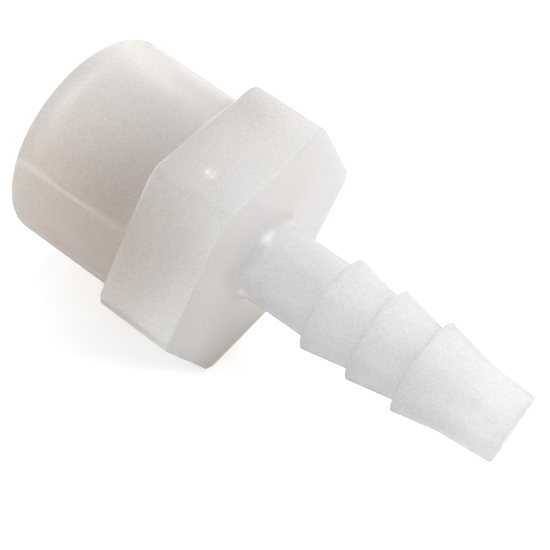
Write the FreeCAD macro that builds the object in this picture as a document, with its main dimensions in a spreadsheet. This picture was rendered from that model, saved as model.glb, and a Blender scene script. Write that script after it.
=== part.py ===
"""Pipe adapter with a hose barb, moulded in one piece of natural nylon.

The fitting is a female pipe socket, a hexagon for a wrench and a barbed tail, on one axis. It lies on
one flat of its hexagon, as it rests on a bench. +X runs along the axis from the mouth of the socket to
the tip of the barb, and +Z is up, square to that flat. The origin is on the axis, at the mouth's face.
The wall of the pipe thread is plain, at the thread's minor diameter: the hole that a gauge pin meets.
"""

import FreeCAD
import Part
import Sketcher

import math
import os

NODE = "barb_fitting"

# Driving dimensions in millimetres. Each is a cell of the sheet "sizes", under its own alias.
DIMENSIONS = {
    "socket_length": (11.83, "mouth of the socket to the back face of the hexagon"),
    "socket_mouth_diameter": (18.79, "outside of the socket at its mouth"),
    "socket_neck_diameter": (18.53, "outside of the socket where it meets the hexagon"),
    "socket_rim_radius": (0.30, "rounding of the socket's outer rim"),
    "socket_neck_fillet": (0.80, "fillet between the socket and the hexagon"),
    "hexagon_across_flats": (20.64, "wrench size, 13/16 inch"),
    "hexagon_length": (6.90, "back face to front face of the hexagon"),
    "hexagon_corner_radius": (0.80, "rounding of the hexagon's six long edges"),
    "hexagon_chamfer_width": (0.27, "how far the turned chamfer reaches in from each rounded corner"),
    "hexagon_chamfer_angle": (45.0, "slope of the turned chamfer from the face, in degrees"),
    "stem_length": (6.76, "front face of the hexagon to the back of the first barb"),
    "stem_root_diameter": (6.93, "stem at the hexagon"),
    "stem_end_diameter": (6.85, "stem at the first barb"),
    "stem_root_fillet": (0.90, "fillet between the stem and the hexagon's front face"),
    "barb_one_length": (4.25, "back of the first barb to the back of the second"),
    "barb_one_crest_diameter": (8.54, "crest of the first barb"),
    "barb_one_valley_diameter": (6.79, "foot of the first barb's slope"),
    "barb_two_length": (4.21, "back of the second barb to the back of the third"),
    "barb_two_crest_diameter": (8.35, "crest of the second barb"),
    "barb_two_valley_diameter": (6.62, "foot of the second barb's slope"),
    "barb_three_length": (3.73, "back of the third barb to the break in its slope"),
    "barb_three_crest_diameter": (8.32, "crest of the third barb"),
    "nose_root_diameter": (6.67, "break between the third barb's slope and the nose"),
    "nose_length": (4.58, "break in the slope to the tip"),
    "nose_tip_diameter": (5.94, "outside of the tip"),
    "barb_crest_radius": (0.20, "rounding of each barb's crest"),
    "nose_tip_radius": (0.20, "rounding of the tip's outer rim"),
    "thread_minor_diameter": (11.10, "plain wall at the minor diameter of a 1/4 inch pipe thread"),
    "thread_depth": (13.00, "mouth to the end of the threaded wall"),
    "mouth_chamfer_width": (1.25, "lead-in chamfer of the mouth, at 45 degrees"),
    "seat_cone_length": (3.30, "end of the threaded wall to the start of the flow bore"),
    "flow_bore_diameter": (4.30, "bore through the stem and the barbs"),
    "tip_bore_chamfer": (0.20, "chamfer of the flow bore at the tip"),
}

# How far a measured edge may lie from the place it is looked for
EDGE_TOLERANCE = 1e-4


def make_sheet(document):
    """The sheet of driving dimensions: alias, value and meaning in each row."""
    sheet = document.addObject("Spreadsheet::Sheet", "sizes")
    for row, (alias, (value, meaning)) in enumerate(DIMENSIONS.items(), start=1):
        sheet.set(f"A{row}", alias)
        sheet.set(f"B{row}", str(value))
        sheet.setAlias(f"B{row}", alias)
        sheet.set(f"C{row}", meaning)
    document.recompute()
    return sheet


def origin_plane(body, role):
    """The body's own origin plane with that role, such as XZ_Plane."""
    return next(feature for feature in body.Origin.OriginFeatures if feature.Role == role)


def new_sketch(body, name, role):
    """An empty sketch on one of the body's origin planes."""
    sketch = body.newObject("Sketcher::SketchObject", name)
    sketch.AttachmentSupport = (origin_plane(body, role), [""])
    sketch.MapMode = "FlatFace"
    return sketch


def bind_place(sketch, line, direction, name, expression):
    """Holds the start of a line at a distance from the sketch's origin, given by an expression."""
    value = sketch.evalExpression(expression)
    index = sketch.addConstraint(Sketcher.Constraint(direction, -1, 1, line, 1, value))
    sketch.renameConstraint(index, name)
    sketch.setExpression(f"Constraints.{name}", expression)


def draw_outline(sketch, corners):
    """Closed outline through named corners, each held by two expressions, along the axis and out from it."""
    places = []
    for _, along, out in corners:
        along_value = sketch.evalExpression(along) if along else 0.0
        out_value = sketch.evalExpression(out) if out else 0.0
        places.append(FreeCAD.Vector(along_value, out_value, 0))
    for start, end in zip(places, places[1:] + places[:1]):
        sketch.addGeometry(Part.LineSegment(start, end))
    count = len(corners)
    for line in range(count):
        sketch.addConstraint(Sketcher.Constraint("Coincident", line, 2, (line + 1) % count, 1))
    for line, (name, along, out) in enumerate(corners):
        if along:
            bind_place(sketch, line, "DistanceX", f"{name}_along", along)
        else:
            sketch.addConstraint(Sketcher.Constraint("PointOnObject", line, 1, -2))
        if out:
            bind_place(sketch, line, "DistanceY", f"{name}_out", out)
        else:
            sketch.addConstraint(Sketcher.Constraint("PointOnObject", line, 1, -1))


def turned(body, kind, name, sketch):
    """A full turn of a sketch about its horizontal axis: added by a Revolution, cut by a Groove."""
    feature = body.newObject(kind, name)
    feature.Profile = sketch
    feature.ReferenceAxis = (sketch, ["H_Axis"])
    feature.Angle = 360.0
    sketch.Visibility = False
    return feature


def circle_edges(shape, along, radius):
    """Names of the shape's circular edges about the axis, at a place along it and of a radius."""
    names = []
    for index, edge in enumerate(shape.Edges, start=1):
        if not isinstance(edge.Curve, Part.Circle):
            continue
        centre = edge.Curve.Center
        off_axis = math.hypot(centre.y, centre.z)
        off_place = abs(centre.x - along)
        off_radius = abs(edge.Curve.Radius - radius)
        if max(off_axis, off_place, off_radius) < EDGE_TOLERANCE:
            names.append(f"Edge{index}")
    return names


def dress_edges(document, body, kind, name, edges, size_property, size_alias):
    """A Fillet or Chamfer on named edges of the body's last feature, its size bound to the sheet."""
    base = body.Tip
    feature = body.newObject(kind, name)
    feature.Base = (base, edges)
    feature.setExpression(size_property, f"sizes.{size_alias}")
    document.recompute()
    return feature


# Places along the axis, as expressions of the sheet's cells
HEXAGON_BACK = "sizes.socket_length"
HEXAGON_FRONT = f"{HEXAGON_BACK} + sizes.hexagon_length"
BARB_ONE = f"{HEXAGON_FRONT} + sizes.stem_length"
BARB_TWO = f"{BARB_ONE} + sizes.barb_one_length"
BARB_THREE = f"{BARB_TWO} + sizes.barb_two_length"
NOSE_ROOT = f"{BARB_THREE} + sizes.barb_three_length"
TIP = f"{NOSE_ROOT} + sizes.nose_length"
SEAT_END = "sizes.thread_depth + sizes.seat_cone_length"
CORNER_CIRCLE = "sizes.hexagon_across_flats / sqrt(3)"
ROUNDED_CORNER = f"{CORNER_CIRCLE} - sizes.hexagon_corner_radius * (2 / sqrt(3) - 1)"
CHAMFER_CIRCLE = f"{ROUNDED_CORNER} - sizes.hexagon_chamfer_width"


def half(alias):
    """The radius of a diameter in the sheet, as an expression."""
    return f"sizes.{alias} / 2"


def outer_form(body):
    """Everything turned on the outside: the socket, the stem, the three barbs and the nose."""
    sketch = new_sketch(body, "outer_outline", "XZ_Plane")
    draw_outline(
        sketch,
        [
            ("mouth_axis", "", ""),
            ("mouth_rim", "", half("socket_mouth_diameter")),
            ("socket_neck", HEXAGON_BACK, half("socket_neck_diameter")),
            ("core_back", HEXAGON_BACK, half("stem_root_diameter")),
            ("stem_root", HEXAGON_FRONT, half("stem_root_diameter")),
            ("stem_end", BARB_ONE, half("stem_end_diameter")),
            ("crest_one", BARB_ONE, half("barb_one_crest_diameter")),
            ("valley_one", BARB_TWO, half("barb_one_valley_diameter")),
            ("crest_two", BARB_TWO, half("barb_two_crest_diameter")),
            ("valley_two", BARB_THREE, half("barb_two_valley_diameter")),
            ("crest_three", BARB_THREE, half("barb_three_crest_diameter")),
            ("nose_root", NOSE_ROOT, half("nose_root_diameter")),
            ("tip_rim", TIP, half("nose_tip_diameter")),
            ("tip_axis", TIP, ""),
        ],
    )
    return turned(body, "PartDesign::Revolution", "outer_form", sketch)


def hexagon_corner(number):
    """Expressions for one corner of the hexagon, with flats up and down: across and up."""
    angle = 60 * number
    return f"{CORNER_CIRCLE} * cos({angle})", f"{CORNER_CIRCLE} * sin({angle})"


def hexagon(document, body):
    """The wrench hexagon, padded along the axis from its back face, with its long edges rounded."""
    sketch = new_sketch(body, "hexagon_outline", "YZ_Plane")
    corners = [hexagon_corner(number) for number in range(6)]
    places = [FreeCAD.Vector(sketch.evalExpression(y), sketch.evalExpression(z), 0) for y, z in corners]
    for start, end in zip(places, places[1:] + places[:1]):
        sketch.addGeometry(Part.LineSegment(start, end))
    for line in range(6):
        sketch.addConstraint(Sketcher.Constraint("Coincident", line, 2, (line + 1) % 6, 1))
    circle = sketch.addGeometry(Part.Circle(FreeCAD.Vector(), FreeCAD.Vector(0, 0, 1), places[0].x), True)
    sketch.addConstraint(Sketcher.Constraint("Coincident", circle, 3, -1, 1))
    for line in range(6):
        sketch.addConstraint(Sketcher.Constraint("PointOnObject", line, 1, circle))
    for line in range(1, 6):
        sketch.addConstraint(Sketcher.Constraint("Equal", 0, line))
    sketch.addConstraint(Sketcher.Constraint("PointOnObject", 0, 1, -1))
    index = sketch.addConstraint(Sketcher.Constraint("Radius", circle, places[0].x))
    sketch.renameConstraint(index, "corner_circle")
    sketch.setExpression("Constraints.corner_circle", CORNER_CIRCLE)
    sketch.setExpression("AttachmentOffset.Base.z", HEXAGON_BACK)
    pad = body.newObject("PartDesign::Pad", "hexagon")
    pad.Profile = sketch
    pad.setExpression("Length", "sizes.hexagon_length")
    sketch.Visibility = False
    document.recompute()
    corner_circle = pad.evalExpression(CORNER_CIRCLE)
    long_edges = []
    for index, edge in enumerate(pad.Shape.Edges, start=1):
        ends = [vertex.Point for vertex in edge.Vertexes]
        at_corner = all(abs(math.hypot(end.y, end.z) - corner_circle) < EDGE_TOLERANCE for end in ends)
        if at_corner and len(ends) == 2 and abs(ends[0].x - ends[1].x) > EDGE_TOLERANCE:
            long_edges.append(f"Edge{index}")
    if len(long_edges) != 6:
        raise RuntimeError(f"the hexagon shows {len(long_edges)} long edges, not 6")
    name = "hexagon_long_edges"
    dress_edges(document, body, "PartDesign::Fillet", name, long_edges, "Radius", "hexagon_corner_radius")


def hexagon_chamfer(document, body, name, face, inward):
    """The turned chamfer that takes the corners off one face. inward is + or -, the way into the hexagon."""
    drop = f"({CORNER_CIRCLE} - ({CHAMFER_CIRCLE})) * tan(sizes.hexagon_chamfer_angle)"
    sketch = new_sketch(body, f"{name}_outline", "XZ_Plane")
    draw_outline(
        sketch,
        [
            ("start", face, CHAMFER_CIRCLE),
            ("outside", face, CORNER_CIRCLE),
            ("corner", f"{face} {inward} {drop}", CORNER_CIRCLE),
        ],
    )
    before = body.Shape.Volume
    groove = turned(body, "PartDesign::Groove", name, sketch)
    document.recompute()
    if not groove.Shape.Volume < before:
        raise RuntimeError(f"{name} cut nothing")
    return groove


def bore(document, body):
    """The hollow: the socket's threaded wall, the cone behind it and the flow bore to the tip."""
    sketch = new_sketch(body, "bore_outline", "XZ_Plane")
    draw_outline(
        sketch,
        [
            ("mouth_axis", "", ""),
            ("mouth_wall", "", half("thread_minor_diameter")),
            ("thread_end", "sizes.thread_depth", half("thread_minor_diameter")),
            ("seat_end", SEAT_END, half("flow_bore_diameter")),
            ("tip_wall", TIP, half("flow_bore_diameter")),
            ("tip_axis", TIP, ""),
        ],
    )
    before = body.Shape.Volume
    groove = turned(body, "PartDesign::Groove", "bore", sketch)
    document.recompute()
    if not groove.Shape.Volume < before:
        raise RuntimeError("the bore cut nothing")
    return groove


def dress_circle(document, body, kind, name, circles, size_property, size_alias):
    """Dresses round edges, each given by its place along the axis and its diameter's alias."""
    base = body.Tip
    edges = []
    for along, alias in circles:
        place = base.evalExpression(along) if along else 0.0
        found = circle_edges(base.Shape, place, base.evalExpression(half(alias)))
        if not found:
            raise RuntimeError(f"{name}: no round edge at {alias}")
        edges.extend(found)
    return dress_edges(document, body, kind, name, edges, size_property, size_alias)


def dress(document, body):
    """The moulding's small roundings and lead-ins."""
    fillet = "PartDesign::Fillet"
    chamfer = "PartDesign::Chamfer"
    crests = [
        (BARB_ONE, "barb_one_crest_diameter"),
        (BARB_TWO, "barb_two_crest_diameter"),
        (BARB_THREE, "barb_three_crest_diameter"),
    ]
    rim = [("", "socket_mouth_diameter")]
    neck = [(HEXAGON_BACK, "socket_neck_diameter")]
    root = [(HEXAGON_FRONT, "stem_root_diameter")]
    tip = [(TIP, "nose_tip_diameter")]
    mouth = [("", "thread_minor_diameter")]
    tip_bore = [(TIP, "flow_bore_diameter")]
    dress_circle(document, body, fillet, "stem_root_fillet", root, "Radius", "stem_root_fillet")
    dress_circle(document, body, fillet, "socket_neck_fillet", neck, "Radius", "socket_neck_fillet")
    dress_circle(document, body, fillet, "barb_crests", crests, "Radius", "barb_crest_radius")
    dress_circle(document, body, fillet, "socket_rim", rim, "Radius", "socket_rim_radius")
    dress_circle(document, body, fillet, "tip_rim", tip, "Radius", "nose_tip_radius")
    dress_circle(document, body, chamfer, "mouth_lead_in", mouth, "Size", "mouth_chamfer_width")
    dress_circle(document, body, chamfer, "tip_bore_chamfer", tip_bore, "Size", "tip_bore_chamfer")


def make_fitting(document):
    """The whole fitting as one body."""
    body = document.addObject("PartDesign::Body", NODE)
    body.Label = NODE
    outer_form(body)
    document.recompute()
    hexagon(document, body)
    hexagon_chamfer(document, body, "front_chamfer", HEXAGON_FRONT, "-")
    hexagon_chamfer(document, body, "back_chamfer", HEXAGON_BACK, "+")
    bore(document, body)
    dress(document, body)
    body.Placement = FreeCAD.Placement()
    return body


def check(document, body):
    """Stops before anything is written if a feature failed or the solid isn't one closed solid."""
    for item in document.Objects:
        if "Invalid" in item.State or "Error" in item.State:
            raise RuntimeError(f"{item.Name} failed: {item.State}")
    shape = body.Shape
    if shape.isNull() or not shape.isValid() or len(shape.Solids) != 1:
        raise RuntimeError(f"{body.Label} isn't one valid solid")


def main():
    """Builds the document, checks it and writes the part."""
    document = FreeCAD.newDocument("hose_barb_fitting")
    make_sheet(document)
    body = make_fitting(document)
    document.recompute()
    check(document, body)
    os.makedirs("parts", exist_ok=True)
    body.Shape.exportStep(f"parts/{body.Label}.step")
    box = body.Shape.BoundBox
    print(f"{body.Label}: {body.Shape.Volume:.1f} mm3, {len(body.Shape.Faces)} faces")
    print(f"box {box.XMin:.2f} {box.YMin:.2f} {box.ZMin:.2f} to {box.XMax:.2f} {box.YMax:.2f} {box.ZMax:.2f}")


main()
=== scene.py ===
"""Rendered model of a hose barb fitting, moulded in one piece of natural nylon.

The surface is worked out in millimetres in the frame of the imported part: +X runs along the axis from the
mouth of the socket to the tip of the barb, and +Z is up. An angle about the axis starts at +Z and turns
towards -Y. The points go into the mesh in metres.
"""

import logging
import math
from dataclasses import dataclass, field, replace
from enum import Enum

import bmesh
import bpy
import numpy as np
from mathutils import Matrix, Vector


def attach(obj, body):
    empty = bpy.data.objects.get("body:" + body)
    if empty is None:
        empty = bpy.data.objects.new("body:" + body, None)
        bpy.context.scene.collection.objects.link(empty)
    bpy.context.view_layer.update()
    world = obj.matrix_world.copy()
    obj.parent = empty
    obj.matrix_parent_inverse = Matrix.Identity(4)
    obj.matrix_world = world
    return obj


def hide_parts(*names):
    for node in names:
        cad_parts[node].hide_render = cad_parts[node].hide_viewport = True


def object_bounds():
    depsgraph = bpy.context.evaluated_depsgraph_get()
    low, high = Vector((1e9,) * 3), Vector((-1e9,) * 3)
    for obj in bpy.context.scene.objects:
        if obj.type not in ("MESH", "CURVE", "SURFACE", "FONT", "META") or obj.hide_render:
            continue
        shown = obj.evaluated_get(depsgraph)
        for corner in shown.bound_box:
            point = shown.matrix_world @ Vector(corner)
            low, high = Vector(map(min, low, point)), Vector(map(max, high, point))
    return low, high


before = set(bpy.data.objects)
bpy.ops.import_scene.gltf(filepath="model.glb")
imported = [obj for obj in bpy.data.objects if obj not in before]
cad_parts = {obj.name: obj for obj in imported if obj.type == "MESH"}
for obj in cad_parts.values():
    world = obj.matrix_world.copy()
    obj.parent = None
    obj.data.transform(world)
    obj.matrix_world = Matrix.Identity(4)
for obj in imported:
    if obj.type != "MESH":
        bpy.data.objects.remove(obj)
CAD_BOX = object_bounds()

LOG = logging.getLogger("hose_barb_fitting")
MILLIMETRE = 0.001
WELD_DISTANCE = 5e-8
DENSITY_SAMPLES = 4001
FULL_TURN = 360.0
SIDE_TURN = 60.0
HALF_SIDE = 30.0
NYLON_IOR = 1.53


class Skin(Enum):
    """The kinds of moulded surface, by the number of the material that each takes."""

    OUTSIDE = 0
    INSIDE = 1
    # Whiter plastic on the gate's mark, partly a painted highlight there, and a painted highlight at the
    # stem's root.
    WHITENED_AND_HIGHLIT = 2


@dataclass(frozen=True)
class GridSteps:
    """How many steps of the grid each stretch of the surface takes.

    The last three go round the axis, and all others go along it.
    """

    mouth_face: int = 4
    mouth_rim: int = 7
    socket_side: int = 26
    neck_fillet: int = 9
    back_face: int = 4
    hexagon_edge: int = 4
    hexagon_side: int = 26
    front_face: int = 12
    stem_fillet: int = 10
    stem: int = 12
    barb_root: int = 4
    barb_step: int = 3
    barb_crest: int = 8
    barb_slope: int = 9
    nose: int = 18
    tip_edge: int = 7
    tip_face: int = 2
    bore_chamfer: int = 2
    bore: int = 22
    cone: int = 6
    long_edge: int = 8
    flat: int = 26
    flat_for_each_dent: int = 6


STEPS = GridSteps()


@dataclass(frozen=True)
class Focus:
    """A place where rows or columns stand closer together.

    Args:
        place: the place, in the unit of the spacing.
        width: how far the closer spacing reaches.
        gain: how much denser it is there than elsewhere.
    """

    place: float
    width: float
    gain: float


def spaced(start: float, end: float, steps: int, focus: tuple[Focus, ...] = ()) -> np.ndarray:
    """Places from start to end, closer together about each focus.

    The density is 1 plus a bell curve for each focus. Its running sum is cut into equal shares.

    Args:
        start: first place.
        end: last place.
        steps: how many steps lie between them.
        focus: the places with closer spacing.

    Returns:
        steps + 1 places.
    """
    fine = np.linspace(start, end, DENSITY_SAMPLES)
    density = np.ones_like(fine)
    for spot in focus:
        density += spot.gain * np.exp(-(((fine - spot.place) / spot.width) ** 2))
    total = np.concatenate([[0.0], np.cumsum((density[1:] + density[:-1]) / 2)])
    places = np.interp(np.linspace(0.0, total[-1], steps + 1), total, fine)
    places[0] = start
    places[-1] = end
    return places


def arc(along: float, out: float, radius: float, start: float, end: float, steps: int) -> np.ndarray:
    """Points of a circular arc in the plane through the axis: centre plus radius times cosine and sine.

    Args:
        along: the centre's place along the axis.
        out: the centre's distance from the axis.
        radius: radius of the arc.
        start: first angle in degrees, from the direction of +X towards outward.
        end: last angle in degrees.
        steps: how many steps lie between them.

    Returns:
        One row for each point: place along the axis, distance from it.
    """
    turn = np.radians(np.linspace(start, end, steps + 1))
    return np.stack([along + radius * np.cos(turn), out + radius * np.sin(turn)], axis=1)


def between(first: np.ndarray | float, last: np.ndarray | float, share: np.ndarray) -> np.ndarray:
    """Values on the way from first to last: first times the rest of the share, plus last times the share.

    Args:
        first: where the way starts.
        last: where it ends.
        share: shares of the way from 0 to 1.

    Returns:
        The values.
    """
    return first * (1.0 - share) + last * share


def straight(
    first: tuple[float, float], last: tuple[float, float], steps: int, focus: tuple[Focus, ...] = ()
) -> np.ndarray:
    """Points of a straight stretch of outline, spaced by their share of the way.

    Args:
        first: place along the axis and distance from it, at the start.
        last: the same at the end.
        steps: how many steps lie between them.
        focus: places with closer spacing, as shares of the way from 0 to 1.

    Returns:
        One row for each point: place along the axis, distance from it.
    """
    share = spaced(0.0, 1.0, steps, focus)[:, None]
    return between(np.array([first]), np.array([last]), share)


def turned(outline: np.ndarray, columns: int) -> tuple[np.ndarray, np.ndarray]:
    """The rings of an outline that is turned about the axis: each of its points once in every column.

    Args:
        outline: one row for each point, with its place along the axis and its distance from it.
        columns: how many columns the grid has.

    Returns:
        Place along the axis and distance from it, one row for each ring.
    """
    return np.repeat(outline[:, :1], columns, axis=1), np.repeat(outline[:, 1:], columns, axis=1)


def ends_held(width: float, gain: float = 5.0) -> tuple[Focus, ...]:
    """Closer spacing at both ends of a straight stretch, so that its shading stays flat.

    Args:
        width: how far it reaches, as a share of the stretch.
        gain: how much denser it is there.

    Returns:
        The two places.
    """
    return Focus(0.0, width, gain), Focus(1.0, width, gain)


@dataclass(frozen=True)
class Socket:
    """The round socket that a pipe screws into: its mouth's face, rim, side and the fillet at its neck.

    Args:
        length: from the mouth's face to the hexagon.
        mouth_diameter: diameter of the side at the mouth.
        neck_diameter: diameter of the side at the hexagon.
        rim_radius: radius of the mouth's outer edge.
        neck_fillet: radius of the fillet at the hexagon.
        opening_diameter: diameter of the opening in the mouth's face.
        pit: where the side has a pit, as a share of its length.
    """

    length: float = 11.83
    mouth_diameter: float = 18.79
    neck_diameter: float = 18.53
    rim_radius: float = 0.30
    neck_fillet: float = 0.80
    opening_diameter: float = 13.60
    pit: Focus = Focus(place=0.872, width=0.03, gain=5.0)

    @property
    def neck_out(self) -> float:
        """Distance from the axis at which the neck's fillet meets the hexagon's back face."""
        return self.neck_diameter / 2 + self.neck_fillet

    def outline(self) -> np.ndarray:
        """The outline from the opening's edge, out over the rim and along to the hexagon's back face.

        Returns:
            One row for each point: place along the axis, distance from it.
        """
        mouth = self.mouth_diameter / 2
        neck = self.neck_diameter / 2
        rim = self.rim_radius
        fillet = self.neck_fillet
        side_end = (self.length - fillet, neck)
        opening = (0.0, self.opening_diameter / 2)
        return np.concatenate(
            [
                straight(opening, (0.0, mouth - rim), STEPS.mouth_face, ends_held(0.1))[:-1],
                arc(rim, mouth - rim, rim, 180.0, 90.0, STEPS.mouth_rim),
                straight((rim, mouth), side_end, STEPS.socket_side, ends_held(0.03) + (self.pit,))[1:-1],
                arc(side_end[0], neck + fillet, fillet, 270.0, 360.0, STEPS.neck_fillet),
            ]
        )


@dataclass(frozen=True)
class Hexagon:
    """The wrench hexagon, with rounded long edges and a turned chamfer at both faces.

    Args:
        back: place of its back face along the axis.
        length: from its back face to its front face.
        across_flats: distance between two opposite flats.
        corner_radius: radius of the long edges.
        chamfer_width: how far in from the rounded long edges the chamfer meets the faces.
        edge_round: radius between face, chamfer and side.
        gate_mark: where the upper flat has the gate's mark, as a share of the length.
        edge_width: how far beside a long edge the columns stand closer, in degrees.
        edge_gain: how much denser they are there.
    """

    back: float = 11.83
    length: float = 6.90
    across_flats: float = 20.64
    corner_radius: float = 0.80
    chamfer_width: float = 0.27
    edge_round: float = 0.16
    gate_mark: Focus = Focus(place=0.488, width=0.11, gain=3.0)
    edge_width: float = 0.5
    edge_gain: float = 4.0

    @property
    def corner_centre(self) -> float:
        """Distance from the axis to the centre of a long edge's rounding."""
        return (self.across_flats / 2 - self.corner_radius) / math.cos(math.radians(HALF_SIDE))

    @property
    def corner_reach(self) -> float:
        """Half the angle about the axis that a long edge's rounding takes.

        Returns:
            The angle in degrees.
        """
        rise = self.corner_radius * math.sin(math.radians(HALF_SIDE))
        run = self.corner_centre + self.corner_radius * math.cos(math.radians(HALF_SIDE))
        return math.degrees(math.atan2(rise, run))

    def columns(self, focus: tuple[Focus, ...]) -> np.ndarray:
        """The angles of the grid's columns, once round the axis, in degrees.

        The roundings take equal steps of their own turn. The flats between them are spaced evenly, but
        closer at their ends and about each focus.

        Args:
            focus: angles with closer spacing.

        Returns:
            The angles, rising by 360 from the first to the last.
        """
        reach = self.corner_reach
        turn = np.radians(np.linspace(-HALF_SIDE, HALF_SIDE, STEPS.long_edge + 1))
        rise = self.corner_radius * np.sin(turn)
        run = self.corner_centre + self.corner_radius * np.cos(turn)
        corner = np.degrees(np.arctan2(rise, run))
        parts = []
        for middle in np.arange(HALF_SIDE, FULL_TURN, SIDE_TURN):
            start = middle + reach
            end = middle + SIDE_TURN - reach
            lift = FULL_TURN if end > FULL_TURN else 0.0
            lifted = [replace(spot, place=spot.place % FULL_TURN + lift) for spot in focus]
            on_flat = tuple(spot for spot in lifted if start < spot.place < end)
            steps = STEPS.flat + STEPS.flat_for_each_dent * len(on_flat)
            held = tuple(Focus(place, self.edge_width, self.edge_gain) for place in (start, end))
            parts.append(middle + corner[:-1])
            parts.append(spaced(start, end, steps, held + on_flat)[:-1])
        parts.append(np.array([HALF_SIDE - reach + FULL_TURN]))
        return np.concatenate(parts)

    def section(self, angle: np.ndarray) -> np.ndarray:
        """Distance from the axis to the side at each angle.

        On a flat it is the apothem over the cosine of the angle from the flat's middle. On a rounded long
        edge it is where the ray meets the circle of the rounding.

        Args:
            angle: angles about the axis in degrees.

        Returns:
            The distances.
        """
        from_corner = np.radians(np.abs((angle % SIDE_TURN) - HALF_SIDE))
        flat = self.across_flats / 2 / np.cos(np.radians(HALF_SIDE) - from_corner)
        centre = self.corner_centre
        under = self.corner_radius**2 - (centre * np.sin(from_corner)) ** 2
        rounded = centre * np.cos(from_corner) + np.sqrt(np.maximum(under, 0.0))
        return np.where(from_corner < math.radians(self.corner_reach), rounded, flat)

    def edge(self, side: np.ndarray) -> tuple[np.ndarray, np.ndarray]:
        """The rounded, chamfered edge of a face, as depth from the face and distance from the axis.

        Face, chamfer and side are drawn in by the rounding's radius. Where they meet are the centres of
        two arcs, from the face's direction to the chamfer's and from there to the side's. Where the side
        doesn't reach the chamfer, both centres are where face and side meet.

        Args:
            side: distance from the axis to the side, one for each column.

        Returns:
            Depth and distance, one row for each step from the face to the side.
        """
        corner = self.across_flats / math.sqrt(3.0)
        rounded = corner - self.corner_radius * (2.0 / math.sqrt(3.0) - 1.0)
        circle = rounded - self.chamfer_width
        size = self.edge_round
        slip = size * (math.sqrt(2.0) - 1.0)
        cut = side > circle + size - slip
        first_depth = np.full_like(side, size)
        first_out = np.where(cut, circle - slip, side - size)
        last_depth = np.where(cut, side - circle + slip, size)
        last_out = side - size
        low = np.radians(np.linspace(0.0, 45.0, STEPS.hexagon_edge + 1))[:, None]
        high = np.radians(np.linspace(45.0, 90.0, STEPS.hexagon_edge + 1))[:, None]
        depth = np.concatenate([first_depth - size * np.cos(low), last_depth - size * np.cos(high)])
        out = np.concatenate([first_out + size * np.sin(low), last_out + size * np.sin(high)])
        return depth, out

    def rings(self, angle: np.ndarray, neck: float, root: float) -> tuple[np.ndarray, np.ndarray]:
        """The hexagon's surface from the end of the neck's fillet to the start of the stem's fillet.

        Args:
            angle: the grid's columns in degrees.
            neck: distance from the axis at which the back face starts.
            root: distance from the axis at which the front face ends.

        Returns:
            Place along the axis and distance from it, one row for each ring.
        """
        side = self.section(angle)
        depth, out = self.edge(side)
        front = self.back + self.length
        outward = spaced(0.0, 1.0, STEPS.back_face, ends_held(0.12))[1:-1, None]
        back_out = between(neck, out[0], outward)
        back_along = np.full_like(back_out, self.back)
        across = spaced(0.0, 1.0, STEPS.hexagon_side, ends_held(0.03) + (self.gate_mark,))[1:-1, None]
        side_along = between(self.back + depth[-1], front - depth[-1], across)
        side_out = np.broadcast_to(side, side_along.shape)
        inward = spaced(0.0, 1.0, STEPS.front_face, ends_held(0.04))[1:-1, None]
        front_out = between(out[0], root, inward)
        front_along = np.full_like(front_out, front)
        along = np.concatenate([back_along, self.back + depth, side_along, front - depth[::-1], front_along])
        return along, np.concatenate([back_out, out, side_out, out[::-1], front_out])


@dataclass(frozen=True)
class Barb:
    """One barb: a step up from the surface before it, a rounded crest and a slope down towards the tip.

    Args:
        back: place of its step along the axis.
        length: from its step to the foot of its slope.
        crest_diameter: diameter at which step and slope would meet without the rounding.
        foot_diameter: diameter at the foot of its slope.
        crest_radius: radius of the rounded crest.
        root_radius: radius in the corner below its step.
    """

    back: float
    length: float
    crest_diameter: float
    foot_diameter: float
    crest_radius: float = 0.20
    root_radius: float = 0.10

    def outline(self, before: float) -> np.ndarray:
        """The outline from the root of the step to the foot of the slope, with the foot itself left out.

        The crest's arc touches the step and the slope, so its centre lies one radius in from both.

        Args:
            before: distance from the axis of the surface that the step rises from.

        Returns:
            One row for each point: place along the axis, distance from it.
        """
        crest = self.crest_diameter / 2
        foot = (self.back + self.length, self.foot_diameter / 2)
        fall = math.atan2(crest - foot[1], self.length)
        radius = self.crest_radius
        centre_along = self.back + radius
        centre_out = crest - radius * math.tan(fall) - radius / math.cos(fall)
        end = 90.0 - math.degrees(fall)
        slope_start = (centre_along + radius * math.sin(fall), centre_out + radius * math.cos(fall))
        root = self.root_radius
        low = (self.back, before + root)
        high = (self.back, centre_out)
        return np.concatenate(
            [
                arc(self.back - root, before + root, root, 270.0, 360.0, STEPS.barb_root),
                straight(low, high, STEPS.barb_step, ends_held(0.15))[1:-1],
                arc(centre_along, centre_out, radius, 180.0, end, STEPS.barb_crest),
                straight(slope_start, foot, STEPS.barb_slope, ends_held(0.04))[1:-1],
            ]
        )


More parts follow.
